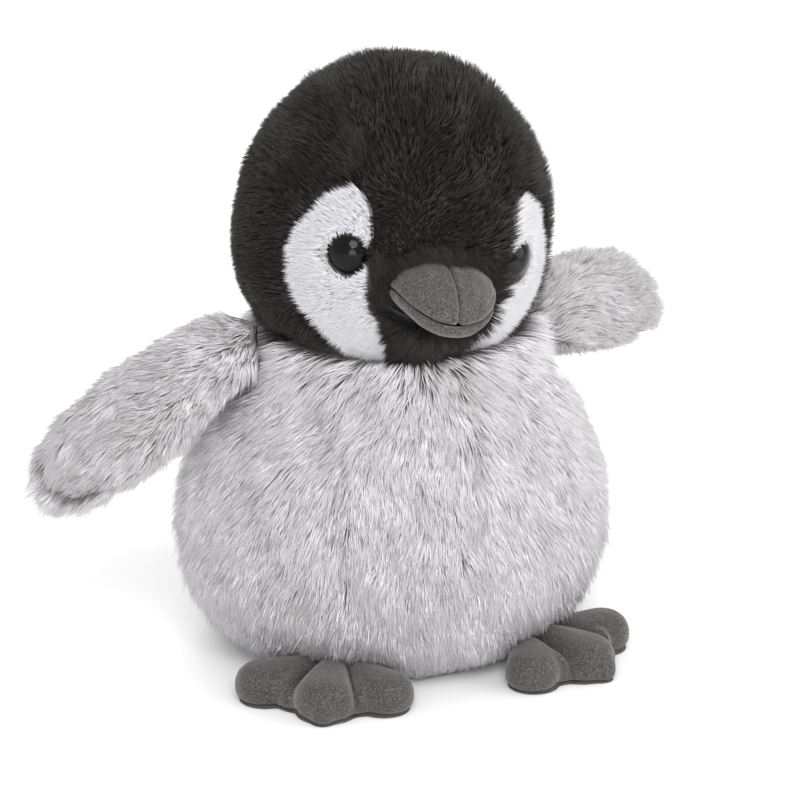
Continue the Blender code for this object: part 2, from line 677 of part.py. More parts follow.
def feet():
    for side, sign in (("left", 1), ("right", -1)):
        heel = Vector((sign * FOOT_HEEL.x, FOOT_HEEL.y, 0.0))
        turned = Matrix.Rotation(pi + sign * FOOT_SPLAY, 3, "Z")
        carrier = pivot("foot_pivot_" + side, heel, turned)
        centre = Vector((0.0, 12.5)) * MM
        reach = {}

        def edge(turn, reach=reach):
            key = round(turn, 6)
            if key not in reach:
                low, high = 0.0, 60.0 * MM
                for _ in range(30):
                    middle = 0.5 * (low + high)
                    x = centre.x + middle * cos(turn)
                    y = centre.y + middle * sin(turn)
                    held = y > HEEL_EDGE and any(in_capsule(x * -sign, y, *toe) for toe in TOES)
                    low, high = (middle, high) if held else (low, middle)
                reach[key] = low
            return reach[key]

        def surface(depth, flat=None):
            def at(turn, s):
                far = edge(turn)
                out = (far - depth) * s
                x, y = centre.x + out * cos(turn), centre.y + out * sin(turn)
                height = max(foot_top(y, out / far) - depth, SOLE_THICK + 0.5 * MM)
                return Vector((x, y, height if flat is None else flat))
            return at
        polar_shell("foot_upper_" + side, surface(0.0), surface(SKIN), "grey_suede",
                    carrier, 36, 3)
        polar_shell("foot_sole_" + side, surface(0.0, SOLE_THICK), surface(0.0, 0.0),
                    "grey_suede", carrier, 36, 1)
        inset = SKIN + 2 * GAP

        def core_top(turn, s, surface=surface):
            point = surface(inset)(turn, s)
            return Vector((point.x, point.y, max(point.z - 0.6 * MM, SOLE_THICK + 0.4 * MM)))
        polar_shell("foot_stuffing_" + side, core_top, surface(inset, SOLE_THICK + 0.1 * MM),
                    "fibre_fill", carrier, 36, 3)
        for place, lean in (("outer", -1), ("inner", 1)):
            route = []
            for index in range(6):
                y = (11.0 + 1.4 * index) * MM
                x = -sign * lean * (4.4 * MM + (y - 11.0 * MM) * 0.42)
                turn = atan2(y - centre.y, x - centre.x)
                share = hypot(x - centre.x, y - centre.y) / edge(turn)
                route.append(Vector((x, y, foot_top(y, min(share, 0.97)) + 0.9 * MM)))
            tube("toe_thread_%s_%s" % (place, side), route, 0.35 * MM, "thread", carrier)


def tail():
    out = Vector((0.0, cos(TAIL_DROP), -sin(TAIL_DROP)))
    top = Vector((0.0, sin(TAIL_DROP), cos(TAIL_DROP)))
    frame = Matrix((out, top.cross(out), top)).transposed()
    carrier = pivot("tail_pivot", TAIL_HINGE, frame)

    def inside(x, y):
        share = (x - 8.0 * MM) / (9.0 * MM)
        return hypot(share, y / TAIL_HALF_WIDTH) < 1.0

    def lift(x, y, s):
        return TAIL_THICK * sqrt(max(0.0, 1.0 - s ** 2))
    pad(["tail_upper", "tail_under", "tail_stuffing"], carrier, Vector((8.0, 0.0)) * MM,
        inside, lift, "grey_plush", 2.0 * MM)


torso()
neck()
head()
flippers()
feet()
tail()
bpy.context.view_layer.update()
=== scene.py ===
"""Plush penguin chick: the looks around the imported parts.

Each plush panel is a cloth backing that carries its own pile, strand by strand. The feet
are padded suede, blown up by a cloth simulation, and the beak is padded suede shaped from
curves. Lengths are in metres, angles in degrees unless they are turned by radians().
"""
import json
from math import cos, pi, radians, sin

import bmesh
import bpy
import numpy as np
from mathutils import Matrix, Vector
from mathutils.bvhtree import BVHTree
from mathutils.kdtree import KDTree


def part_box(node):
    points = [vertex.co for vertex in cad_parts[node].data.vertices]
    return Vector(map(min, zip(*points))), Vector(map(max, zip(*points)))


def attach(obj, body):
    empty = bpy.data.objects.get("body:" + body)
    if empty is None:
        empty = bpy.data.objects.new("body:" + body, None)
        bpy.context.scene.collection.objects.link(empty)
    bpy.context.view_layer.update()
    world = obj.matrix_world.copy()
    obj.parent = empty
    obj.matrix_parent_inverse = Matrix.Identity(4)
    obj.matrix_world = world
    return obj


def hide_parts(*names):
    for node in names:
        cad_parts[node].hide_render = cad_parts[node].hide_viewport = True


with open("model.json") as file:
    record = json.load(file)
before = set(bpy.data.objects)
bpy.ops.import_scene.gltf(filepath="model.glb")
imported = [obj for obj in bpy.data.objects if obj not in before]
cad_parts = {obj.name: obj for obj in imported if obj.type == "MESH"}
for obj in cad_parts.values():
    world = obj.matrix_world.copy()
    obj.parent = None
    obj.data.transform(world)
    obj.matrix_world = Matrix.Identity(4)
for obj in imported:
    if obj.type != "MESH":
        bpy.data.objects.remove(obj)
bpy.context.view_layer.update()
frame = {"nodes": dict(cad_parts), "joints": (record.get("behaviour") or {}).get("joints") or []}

MM = 0.001
NODES = frame["nodes"]
JOINTS = {joint["name"]: joint for joint in frame["joints"]}
HEAD_CENTRE = np.array(JOINTS["head_nod"]["pos_m"])
HEAD_X = np.array(JOINTS["head_nod"]["axis"])
HEAD_X /= np.linalg.norm(HEAD_X)
HEAD_Y = np.array([0.0, 1.0, 0.0])
HEAD_Z = np.cross(HEAD_X, HEAD_Y)


# ------------------------------------------------------------ node materials
def new_material(name, roughness, specular=0.3, sheen=0.0):
    made = bpy.data.materials.new(name)
    made.use_nodes = True
    shader = made.node_tree.nodes["Principled BSDF"]
    shader.inputs["Roughness"].default_value = roughness
    shader.inputs["Specular IOR Level"].default_value = specular
    shader.inputs["Sheen Weight"].default_value = sheen
    return made, made.node_tree, shader


def ramp(tree, stops, factor):
    """Colour ramp from (place, colour) stops, fed by an output socket."""
    made = tree.nodes.new("ShaderNodeValToRGB")
    elements = made.color_ramp.elements
    while len(elements) < len(stops):
        elements.new(0.5)
    for element, (place, colour) in zip(elements, stops):
        element.position = place
        element.color = (*colour, 1.0)
    tree.links.new(factor, made.inputs["Fac"])
    return made.outputs["Color"]


def mix(tree, share, first, second, mode="MIX"):
    made = tree.nodes.new("ShaderNodeMix")
    made.data_type = "RGBA"
    made.blend_type = mode
    for socket, value in ((made.inputs[0], share), (made.inputs[6], first), (made.inputs[7], second)):
        if isinstance(value, bpy.types.NodeSocket):
            tree.links.new(value, socket)
        elif isinstance(value, tuple):
            socket.default_value = (*value, 1.0)
        else:
            socket.default_value = value
    return made.outputs[2]


def noise(tree, size, detail=3.0, roughness=0.55):
    """Noise whose grains are about size metres across, fixed to the piece."""
    place = tree.nodes.new("ShaderNodeTexCoord")
    made = tree.nodes.new("ShaderNodeTexNoise")
    made.inputs["Scale"].default_value = 1.0 / size
    made.inputs["Detail"].default_value = detail
    made.inputs["Roughness"].default_value = roughness
    tree.links.new(place.outputs["Object"], made.inputs["Vector"])
    return made.outputs["Fac"]


def bump(tree, shader, height, distance, strength):
    made = tree.nodes.new("ShaderNodeBump")
    made.inputs["Distance"].default_value = distance
    made.inputs["Strength"].default_value = strength
    tree.links.new(height, made.inputs["Height"])
    tree.links.new(made.outputs["Normal"], shader.inputs["Normal"])


def fur_material(name, dark, light, roughness=0.55, sheen=0.25):
    """Pile whose colour runs from root to tip (u), between a dark and a light kind (v)."""
    made, tree, shader = new_material(name, roughness, specular=0.25, sheen=sheen)
    shader.inputs["Sheen Roughness"].default_value = 0.4
    uv = tree.nodes.new("ShaderNodeUVMap")
    uv.uv_map = "OFBake"
    split = tree.nodes.new("ShaderNodeSeparateXYZ")
    tree.links.new(uv.outputs["UV"], split.inputs["Vector"])
    kinds = [ramp(tree, stops, split.outputs["X"]) for stops in (dark, light)]
    tree.links.new(mix(tree, split.outputs["Y"], *kinds), shader.inputs["Base Color"])
    return made


def cloth_material(name, low, high, size=0.6 * MM):
    """Knitted or woven cloth: mottled colour and a fine grain."""
    made, tree, shader = new_material(name, roughness=0.9, specular=0.2, sheen=0.3)
    grain = noise(tree, size, 4.0, 0.7)
    tree.links.new(ramp(tree, [(0.35, low), (0.68, high)], grain), shader.inputs["Base Color"])
    bump(tree, shader, grain, 0.15 * MM, 0.6)
    return made


def suede_material():
    """Dark grey brushed knit of beak and feet: speckled, soft-edged."""
    made, tree, shader = new_material("grey_suede", roughness=0.92, specular=0.15, sheen=0.35)
    shader.inputs["Sheen Tint"].default_value = (0.8, 0.78, 0.76, 1.0)
    fine = noise(tree, 0.55 * MM, 2.0, 0.8)
    cloud = noise(tree, 6.0 * MM, 2.0)
    speckle = ramp(tree, [(0.34, (0.034, 0.031, 0.029)), (0.52, (0.068, 0.063, 0.060)),
                          (0.70, (0.150, 0.141, 0.136))], fine)
    shade = ramp(tree, [(0.3, (0.86, 0.86, 0.86)), (0.7, (1.0, 1.0, 1.0))], cloud)
    tree.links.new(mix(tree, 1.0, speckle, shade, "MULTIPLY"), shader.inputs["Base Color"])
    bump(tree, shader, fine, 0.22 * MM, 0.8)
    return made


def eye_material(radius):
    """Moulded eye: black pupil in a dark brown iris that shows near its edge, glossy."""
    made, tree, shader = new_material("eye_plastic", roughness=0.10, specular=0.20)
    place = tree.nodes.new("ShaderNodeTexCoord")
    flat = tree.nodes.new("ShaderNodeVectorMath")
    flat.operation = "MULTIPLY"
    flat.inputs[1].default_value = (1.0 / radius, 1.0 / radius, 0.0)
    tree.links.new(place.outputs["Object"], flat.inputs[0])
    far = tree.nodes.new("ShaderNodeVectorMath")
    far.operation = "LENGTH"
    tree.links.new(flat.outputs["Vector"], far.inputs[0])
    streak = noise(tree, 0.7 * MM)
    brown = ramp(tree, [(0.35, (0.018, 0.012, 0.010)), (0.7, (0.034, 0.024, 0.020))], streak)
    rim = ramp(tree, [(0.78, (0.0, 0.0, 0.0)), (0.86, (1.0, 1.0, 1.0))], far.outputs["Value"])
    tree.links.new(mix(tree, rim, (0.002, 0.0016, 0.0014), brown), shader.inputs["Base Color"])
    return made


def plain_material(name, low, high, size, roughness):
    """Even colour with a slight grain of the given size."""
    made, tree, shader = new_material(name, roughness)
    grain = noise(tree, size)
    tree.links.new(ramp(tree, [(0.3, low), (0.7, high)], grain), shader.inputs["Base Color"])
    bump(tree, shader, grain, 0.1 * MM, 0.4)
    return made


# Colours from a strand's root (0) to its tip (1), for each plush's dark and light kind.
GREY_DARK = [(0.0, (0.085, 0.068, 0.066)), (0.25, (0.20, 0.175, 0.172)), (0.55, (0.52, 0.49, 0.50)),
             (1.0, (0.80, 0.78, 0.80))]
GREY_LIGHT = [(0.0, (0.20, 0.18, 0.178)), (0.25, (0.58, 0.545, 0.575)), (0.55, (0.87, 0.842, 0.882)),
              (1.0, (0.97, 0.943, 0.985))]
BLACK_DARK = [(0.0, (0.004, 0.0034, 0.003)), (0.6, (0.008, 0.007, 0.0062)), (1.0, (0.014, 0.012, 0.0105))]
# painted glints: the black pile's light kind has bright tips, highlights painted into the strand colour
BLACK_PAINTED_GLINT = [(0.0, (0.005, 0.0045, 0.004)), (0.55, (0.022, 0.0185, 0.016)), (1.0, (0.12, 0.105, 0.092))]
WHITE_DARK = [(0.0, (0.66, 0.65, 0.67)), (0.4, (0.76, 0.75, 0.775)), (1.0, (0.82, 0.81, 0.84))]
WHITE_LIGHT = [(0.0, (0.74, 0.73, 0.75)), (0.4, (0.84, 0.83, 0.855)), (1.0, (0.92, 0.91, 0.94))]

GREY_FUR = fur_material("grey_plush_pile", GREY_DARK, GREY_LIGHT)
BLACK_FUR = fur_material("black_plush_pile", BLACK_DARK, BLACK_PAINTED_GLINT, roughness=0.6, sheen=0.04)
WHITE_FUR = fur_material("white_plush_pile", WHITE_DARK, WHITE_LIGHT, roughness=0.7, sheen=0.2)
GREY_CLOTH = cloth_material("grey_plush_backing", (0.10, 0.09, 0.088), (0.22, 0.20, 0.20))
BLACK_CLOTH = cloth_material("black_plush_backing", (0.006, 0.005, 0.005), (0.014, 0.012, 0.011))
WHITE_CLOTH = cloth_material("white_plush_backing", (0.66, 0.65, 0.67), (0.76, 0.75, 0.77))
SUEDE = suede_material()
THREAD = plain_material("thread", (0.020, 0.018, 0.017), (0.045, 0.042, 0.040), 0.3 * MM, 0.7)
PLUSH = {"grey": (GREY_FUR, GREY_CLOTH), "black": (BLACK_FUR, BLACK_CLOTH),
         "white": (WHITE_FUR, WHITE_CLOTH)}


# ------------------------------------------------------------ surfaces to grow pile on
def unit(v):
    return v / np.maximum(np.linalg.norm(v, axis=-1, keepdims=True), 1e-12)


def dot(a, b):
    return np.sum(a * b, axis=-1, keepdims=True)


def smooth(x):
    x = np.clip(x, 0.0, 1.0)
    return x * x * (3.0 - 2.0 * x)


def middle_of(name):
    """Middle of a CAD node's box."""
    return np.array(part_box(name)).mean(axis=0)


def coordinates(mesh):
    points = np.zeros(len(mesh.vertices) * 3, np.float32)
    mesh.vertices.foreach_get("co", points)
    return points.reshape(-1, 3).astype(float)


def corner_indices(mesh):
    """The three points of each of a mesh's triangles."""
    mesh.calc_loop_triangles()
    corners = np.zeros(len(mesh.loop_triangles) * 3, np.int32)
    mesh.loop_triangles.foreach_get("vertices", corners)
    return corners.reshape(-1, 3)


def welded(name):
    """Points and triangles of a CAD node, with doubled points joined."""
    points = coordinates(NODES[name].data)
    weld = 2e-3 * MM
    _, first, index = np.unique(
        np.round(points / weld).astype(np.int64), axis=0, return_index=True, return_inverse=True)
    triangles = index.reshape(-1)[corner_indices(NODES[name].data)]
    whole = (triangles[:, 0] != triangles[:, 1]) & (triangles[:, 1] != triangles[:, 2])
    whole &= triangles[:, 0] != triangles[:, 2]
    return points[first], triangles[whole]


def outside(points, triangles, core):
    """Which triangles face away from the nearest point of the core, and smooth normals."""
    facing = 0.3
    a, b, c = (points[triangles[:, k]] for k in range(3))
    area = np.cross(b - a, c - a)
    middle = (a + b + c) / 3
    near = core[np.argmin(np.linalg.norm(middle[:, None] - core[None], axis=2), axis=1)]
    outer = dot(unit(area), unit(middle - near))[:, 0] > facing
    normals = np.zeros_like(points)
    for k in range(3):
        np.add.at(normals, triangles[outer, k], area[outer])
    return outer, unit(normals)


def scatter(name, core, count, rng):
    """Points spread evenly over a node's outer side, with their normals."""
    points, triangles = welded(name)
    outer, normals = outside(points, triangles, core)
    triangles = triangles[outer]
    a, b, c = (points[triangles[:, k]] for k in range(3))
    size = np.linalg.norm(np.cross(b - a, c - a), axis=1)
    pick = rng.choice(len(size), count, p=size / size.sum())
    u, v = rng.random((2, count, 1))
    u, v = np.where(u + v > 1, 1 - u, u), np.where(u + v > 1, 1 - v, v)
    chosen = triangles[pick]
    weights = (1 - u - v, u, v)
    place = sum(w * points[chosen[:, k]] for k, w in enumerate(weights))
    normal = unit(sum(w * normals[chosen[:, k]] for k, w in enumerate(weights)))
    return place, normal


def waves(place, size, seed):
    """Slow, smooth variation from about -1 to 1 over lengths of about size."""
    rng = np.random.default_rng(seed)
    total = np.zeros(len(place))
    for _ in range(5):
        run = unit(rng.normal(size=3)) * (2 * pi / size) * rng.uniform(0.6, 1.5)
        total += np.sin(place @ run + rng.uniform(0, 2 * pi))
    return total / 2.2


def turned(vector, axis, angle):
    """Vectors turned about their axes."""
    c, s = np.cos(angle)[:, None], np.sin(angle)[:, None]
    return vector * c + np.cross(axis, vector) * s + axis * dot(axis, vector) * (1 - c)


def new_object(name, data):
    made = bpy.data.objects.new(name, data)
    bpy.context.scene.collection.objects.link(made)
    return made


def mesh_from(work, name):
    """A bmesh as a mesh; the bmesh is freed."""
    mesh = bpy.data.meshes.new(name)
    work.to_mesh(mesh)
    work.free()
    return mesh


def mesh_object(name, points, triangles, material):
    mesh = bpy.data.meshes.new(name)
    mesh.vertices.add(len(points))
    mesh.vertices.foreach_set("co", np.ascontiguousarray(points, np.float32).ravel())
    mesh.loops.add(triangles.size)
    mesh.loops.foreach_set("vertex_index", np.ascontiguousarray(triangles, np.int32).ravel())
    mesh.polygons.add(len(triangles))
    mesh.polygons.foreach_set("loop_start", np.arange(0, triangles.size, 3, dtype=np.int32))
    mesh.polygons.foreach_set("use_smooth", np.ones(len(triangles), bool))
    mesh.update(calc_edges=True)
    mesh.materials.append(material)
    return new_object(name, mesh)


def face_outward(made):
    """Make all faces of a closed object look outward."""
    work = bmesh.new()
    work.from_mesh(made.data)
    bmesh.ops.recalc_face_normals(work, faces=work.faces)
    work.to_mesh(made.data)
    work.free()


def doubled_sheet(columns, rows):
    """Triangles of a grid of points, of a second grid behind it and of the rim that joins them."""
    index = np.arange(columns * rows).reshape(columns, rows)
    a, b, c, d = index[:-1, :-1], index[1:, :-1], index[1:, 1:], index[:-1, 1:]
    face = np.stack([a, b, c, a, c, d], axis=-1).reshape(-1, 3)
    border = np.concatenate([index[:, 0], index[-1, 1:], index[-2::-1, -1], index[0, -2:0:-1]])
    follow, back = np.roll(border, -1), columns * rows
    rim = np.stack([border, border + back, follow, follow, border + back, follow + back], axis=-1)
    return np.concatenate([face, face[:, ::-1] + back, rim.reshape(-1, 3)])


def backing(node, body, core, depth, kind):
    """The panel's cloth: the CAD panel with its outer side sunk below the pile."""
    points, triangles = welded(node)
    _, normals = outside(points, triangles, core)
    points = points - normals * depth
    made = mesh_object(node + "_cloth", points, triangles, PLUSH[kind][1])
    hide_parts(node)
    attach(made, body)


# ------------------------------------------------------------ pile
class Pile:
    """How one kind of pile grows.

    lean is a strand's tilt at its root and bend the tilt it gains up to its tip; sunk is how
    far the root lies below the CAD surface. There are lock locks for each strand, whose tips
    gather by a share, and swirl turns them slowly. A share dark of the locks is darker.
    """

    def __init__(self, kind, length, width, lean, sunk, lock, gather, swirl, bend=25.0, dark=0.0):
        self.kind, self.length, self.width, self.lean = kind, length, width, lean
        self.sunk, self.lock, self.gather, self.swirl = sunk, lock, gather, swirl
        self.bend, self.dark = bend, dark


STEPS = 2          # straight runs in one strand
SIDES = 3          # sides of a strand
# painted glints: this tone leaves fewer black strands with the painted highlights of the light kind
BLACK_TONE = -0.10  # places the black pile nearer its dark kind


def even(tone):
    """One tone all over a panel."""
    return lambda place, normal: np.full(len(place), tone)


def centre_lines(place, normal, flow, length, lean, bend):
    """Points along each strand, from root to tip, as it leans over into the flow."""
    lines = [place]
    for step in range(STEPS):
        angle = (lean + bend * (step + 0.5) / STEPS)[:, None]
        way = normal * np.cos(angle) + flow * np.sin(angle)
        lines.append(lines[-1] + way * (length / STEPS)[:, None])
    return np.stack(lines, axis=1)


def grow(name, node, body, core, count, pile, flow_field, seed, keep=None, tone=None,
         stretch=None, upright=None, seats=None):
    """Pile on a CAD node's outer side, as one mesh of closed tapering strands.

    keep picks strands, tone shifts their colour, stretch scales their length, upright takes
    away lean, and seats gives roots and normals in place of the node's own surface.
    """
    rng = np.random.default_rng(seed)
    place, normal = scatter(node, core, count, rng) if seats is None else seats
    if keep is not None:
        held = keep(place, normal)
        place, normal = place[held], normal[held]
    total = len(place)
    locks = max(1, int(total * pile.lock))
    chosen = rng.choice(total, locks, replace=False)

    flow = flow_field(place, normal)
    flow = turned(flow, normal, radians(pile.swirl) * waves(place, 26 * MM, seed + 1))
    flow = unit(flow - normal * dot(flow, normal))
    reach = pile.length * (1 + 0.12 * waves(place, 18 * MM, seed + 2))
    if stretch is not None:
        reach = reach * stretch(place)
    lean = np.full(total, radians(pile.lean))
    if upright is not None:
        lean = lean * (1.0 - upright(place))
    root = place - normal * pile.sunk

    heads_flow = turned(flow[chosen], normal[chosen], radians(14) * rng.normal(size=locks))
    heads_lean = lean[chosen] + radians(9) * rng.normal(size=locks)
    heads_length = reach[chosen] * (1 + 0.10 * rng.normal(size=locks))
    heads_bend = np.full(locks, radians(pile.bend))
    heads = centre_lines(root[chosen], normal[chosen], heads_flow, heads_length, heads_lean, heads_bend)
    tree = KDTree(locks)
    for index, point in enumerate(root[chosen]):
        tree.insert(point, index)
    tree.balance()
    owner = np.array([tree.find(point)[1] for point in root])

    own_flow = turned(flow, normal, radians(11) * rng.normal(size=total))
    own_lean = lean + radians(8) * rng.normal(size=total)
    own_length = reach * (1 + 0.13 * rng.normal(size=total))
    own_bend = np.full(total, radians(pile.bend))
    lines = centre_lines(root, normal, own_flow, own_length, own_lean, own_bend)
    share = (np.linspace(0, 1, STEPS + 1) ** 1.3)[None, :, None] * pile.gather
    share = share * rng.uniform(0.55, 1.15, (total, 1, 1))
    lines = lines + (heads[owner] - lines) * share
    lines[:, :, 2] = np.maximum(lines[:, :, 2], 0.3 * MM)

    along = unit(lines[:, 1:] - lines[:, :-1])
    side = unit(np.cross(along[:, 0], normal + 0.01))
    spin = rng.uniform(0, 2 * pi, total)
    across = np.cross(along[:, 0], side)
    thick = pile.width * (1 + 0.25 * rng.normal(size=total)).clip(0.4, 1.8)
    rings = []
    for step in range(STEPS):
        radius = 0.5 * thick * (1 - 0.45 * step / STEPS)
        for corner in range(SIDES):
            angle = spin + 2 * pi * corner / SIDES
            ray = side * np.cos(angle)[:, None] + across * np.sin(angle)[:, None]
            rings.append(lines[:, step] + ray * radius[:, None])
    rings.append(lines[:, STEPS])
    points = np.stack(rings, axis=1).reshape(-1, 3)

    faces = [(0, 2, 1)]
    for step in range(STEPS - 1):
        for corner in range(SIDES):
            follow = (corner + 1) % SIDES
            low, high = step * SIDES, (step + 1) * SIDES
            faces += [(low + corner, low + follow, high + follow),
                      (low + corner, high + follow, high + corner)]
    last, tip = (STEPS - 1) * SIDES, STEPS * SIDES
    faces += [(last + corner, last + (corner + 1) % SIDES, tip) for corner in range(SIDES)]
    each = tip + 1
    triangles = (np.array(faces)[None] + (np.arange(total) * each)[:, None, None]).reshape(-1, 3)

    shade = 0.5 + 0.20 * waves(place, 15 * MM, seed + 3) + 0.14 * rng.normal(size=total)
    shade += (0.13 * rng.normal(size=locks) - 0.55 * (rng.random(locks) < pile.dark))[owner]
    if tone is not None:
        shade += tone(place, normal)
    shade = shade.clip(0.06, 0.94)
    u = np.repeat(np.arange(STEPS + 1) / STEPS, [SIDES] * STEPS + [1])
    v = np.array([-0.03, 0.0, 0.03] * STEPS + [0.0])
    along_strand = np.broadcast_to(u.clip(0.02, 0.98), (total, each))
    chart = np.stack([along_strand, shade[:, None] + v], axis=2).reshape(-1, 2)

    made = mesh_object(name, points, triangles, PLUSH[pile.kind][0])
    layer = made.data.uv_layers.new(name="OFBake")
    layer.data.foreach_set("uv", chart[triangles.ravel()].astype(np.float32).ravel())
    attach(made, body)


# ------------------------------------------------------------ torso
def from_chin(place, normal):
    """Pile fans out from under the chin and hangs down."""
    fan = unit(place - middle_of("chin_panel")) * np.array([1.0, 0.6, 1.0])
    return fan * 0.75 + np.array([0.0, 0.0, -0.45])


def torso():
    """Long grey pile on the body, with painted shade under the chin and painted light near the floor and
    on the +x side.
    """
    low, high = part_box("body_front_panel")
    floor, rim = low.z, high.z
    core = np.array([[0.0, 0.0, z] for z in np.linspace(floor + 40 * MM, floor + 52 * MM, 3)])
    coat = Pile("grey", length=9.0 * MM, width=0.34 * MM, lean=55.0, sunk=3.0 * MM, lock=0.055,
                gather=0.46, swirl=14.0, bend=22.0, dark=0.06)
    cloth_depth = 3.4 * MM
    chin = middle_of("chin_panel")

    def tone(place, normal):
        near = np.linalg.norm(place - chin, axis=1)
        # painted light: the pile lightens towards the floor, for light thrown up from the floor
        under = 0.36 * smooth((38 * MM - place[:, 2]) / (30 * MM))
        # painted light: the pile is lighter on the +x side
        side = 0.12 * smooth(place[:, 0] / (40 * MM))
        # painted shade: the pile darkens near the chin, under the head
        return 0.09 - 0.40 * smooth(1 - near / (46 * MM)) + side + under

    def ruff(place):
        return 0.55 * smooth(1 - (rim - place[:, 2]) / (9 * MM))

    def stretch(place):
        near_rim = smooth(1 - (rim - place[:, 2]) / (12 * MM))
        near_floor = smooth(1 - (place[:, 2] - 3 * MM) / (18 * MM))
        return 1.0 + 0.25 * near_rim - 0.35 * near_floor

    # The front is grown in four sectors, between bearings in radians from straight ahead.
    sectors = (("right", -2.0, -0.6, 62000), ("middle_right", -0.6, 0.0, 88000),
               ("middle_left", 0.0, 0.6, 88000), ("left", 0.6, 2.0, 58000))
    for index, (side, start, end, count) in enumerate(sectors):
        def keep(place, normal, start=start, end=end):
            bearing = np.arctan2(place[:, 0], -place[:, 1])
            return (bearing >= start) & (bearing < end)
        grow("body_front_pile_" + side, "body_front_panel", "torso", core, count, coat, from_chin,
             11 + index, keep, tone, stretch, ruff)
    backing("body_front_panel", "torso", core, cloth_depth, "grey")
    for side, seed in (("left", 21), ("right", 22)):
        node = "body_back_panel_" + side
        grow(node + "_pile", node, "torso", core, 19500, coat, from_chin, seed, None, tone,
             stretch, ruff)
        backing(node, "torso", core, cloth_depth, "grey")


# ------------------------------------------------------------ head
HOOD_STRANDS = 19500        # on the gusset, and on each side panel
CHIN_STRANDS = 7000
HEAD_CLOTH_DEPTH = 2.6 * MM


def from_beak(place, normal):
    """Pile lies away from the beak in front, and down at the back."""
    front = 1.0 - smooth((place[:, 1:2] + 8 * MM) / (36 * MM))
    away = unit(place - middle_of("beak_lower"))
    return away * front + np.array([0.0, 0.0, -1.0]) * (1.0 - front)


def head():
    """Short black pile on the hood, longer at the chin, and white pile on the eye patches."""
    core = HEAD_CENTRE[None]
    hood = Pile("black", length=4.6 * MM, width=0.27 * MM, lean=22.0, sunk=2.2 * MM, lock=0.22,
                gather=0.32, swirl=40.0, bend=22.0)
    chin = Pile("black", length=7.0 * MM, width=0.28 * MM, lean=38.0, sunk=2.6 * MM, lock=0.06,
                gather=0.60, swirl=24.0)
    patch = Pile("white", length=4.0 * MM, width=0.24 * MM, lean=26.0, sunk=2.2 * MM, lock=0.16,
                 gather=0.25, swirl=16.0, bend=18.0)

    def fuller(place):
        rim = 0.7 * smooth((HEAD_CENTRE[2] - 28 * MM - place[:, 2]) / (6 * MM))
        lean = 0.35 * smooth(place[:, 0] / (38 * MM)) - 0.18 * smooth(-place[:, 0] / (38 * MM))
        return 1.0 + lean + rim * smooth((place[:, 1] + 20 * MM) / (20 * MM))

    for index, node in enumerate(("head_gusset", "head_side_left", "head_side_right")):
        grow(node + "_pile", node, "head", core, HOOD_STRANDS, hood, from_beak, 31 + index,
             None, even(BLACK_TONE), fuller)
        backing(node, "head", core, HEAD_CLOTH_DEPTH, "black")
    grow("chin_pile", "chin_panel", "head", core, CHIN_STRANDS, chin, from_beak, 35,
         None, even(BLACK_TONE))
    backing("chin_panel", "head", core, HEAD_CLOTH_DEPTH, "black")
    for side, seed in (("left", 41), ("right", 42)):
        node = "face_patch_" + side
        grow(node + "_pile", node, "head", core, 11000, patch, from_beak, seed)
        backing(node, "head", core, HEAD_CLOTH_DEPTH, "white")
    turned_in = seam_allowance()
    brow(turned_in)
    seam_pile(turned_in)
    lashes()


def lashes():
    """Black pile beside the eyes and white pile round them, brushed over their edges."""
    eyes = np.array([welded("eye_" + side)[0].mean(axis=0) for side in ("left", "right")])
    eyes = HEAD_CENTRE + unit(eyes - HEAD_CENTRE) * 44 * MM
    black_reach, white_reach = 10.6 * MM, 9.4 * MM
    tuft = Pile("black", length=5.8 * MM, width=0.27 * MM, lean=40.0, sunk=2.2 * MM, lock=0.12,
                gather=0.35, swirl=18.0, bend=14.0)
    lid = Pile("white", length=2.9 * MM, width=0.24 * MM, lean=30.0, sunk=2.2 * MM, lock=0.16,
               gather=0.2, swirl=14.0, bend=22.0)

    def nearest(place):
        far = np.linalg.norm(place[:, None] - eyes[None], axis=2)
        return eyes[far.argmin(axis=1)], far.min(axis=1)

    def toward(place, normal):
        return unit(nearest(place)[0] - place) + HEAD_Z * 0.25

    def shorter(place):
        return 1.0 - 0.45 * (place[:, 0] > 0)

    for node, count, seed in (("head_gusset", HOOD_STRANDS, 38), ("chin_panel", CHIN_STRANDS, 39)):
        grow(node + "_tuft", node, "head", HEAD_CENTRE[None], count, tuft, toward, seed,
             lambda place, normal: nearest(place)[1] < black_reach, even(BLACK_TONE), shorter)
    for side, seed in (("left", 43), ("right", 44)):
        node = "face_patch_" + side
        grow(node + "_tuft", node, "head", HEAD_CENTRE[None], 9000, lid, toward, seed,
             lambda place, normal: nearest(place)[1] < white_reach)


def panel_edges(nodes):
    """Points along the cut edges of panels, half way through their thickness."""
    edge_facing, odd = 0.5, 9 * MM
    found = []
    for node in nodes:
        points, triangles = welded(node)
        corners = points[triangles]
        normal = unit(np.cross(corners[:, 1] - corners[:, 0], corners[:, 2] - corners[:, 0]))
        radial = unit(corners.mean(axis=1) - HEAD_CENTRE)
        rim = corners[np.abs(dot(normal, radial)[:, 0]) < edge_facing]
        far = np.linalg.norm(rim - HEAD_CENTRE, axis=2)
        middle = far.mean(axis=1).mean()
        for a, b in ((0, 1), (1, 2), (2, 0)):
            for share in np.linspace(0.0, 1.0, 9):
                spot = rim[:, a] * (1 - share) + rim[:, b] * share - HEAD_CENTRE
                out = np.linalg.norm(spot, axis=1)
                level = 0.5 * (far[:, a] + far[:, b])
                found.append(unit(spot) * np.where(np.abs(out - level) > odd, middle, level)[:, None])
    return np.concatenate(found)


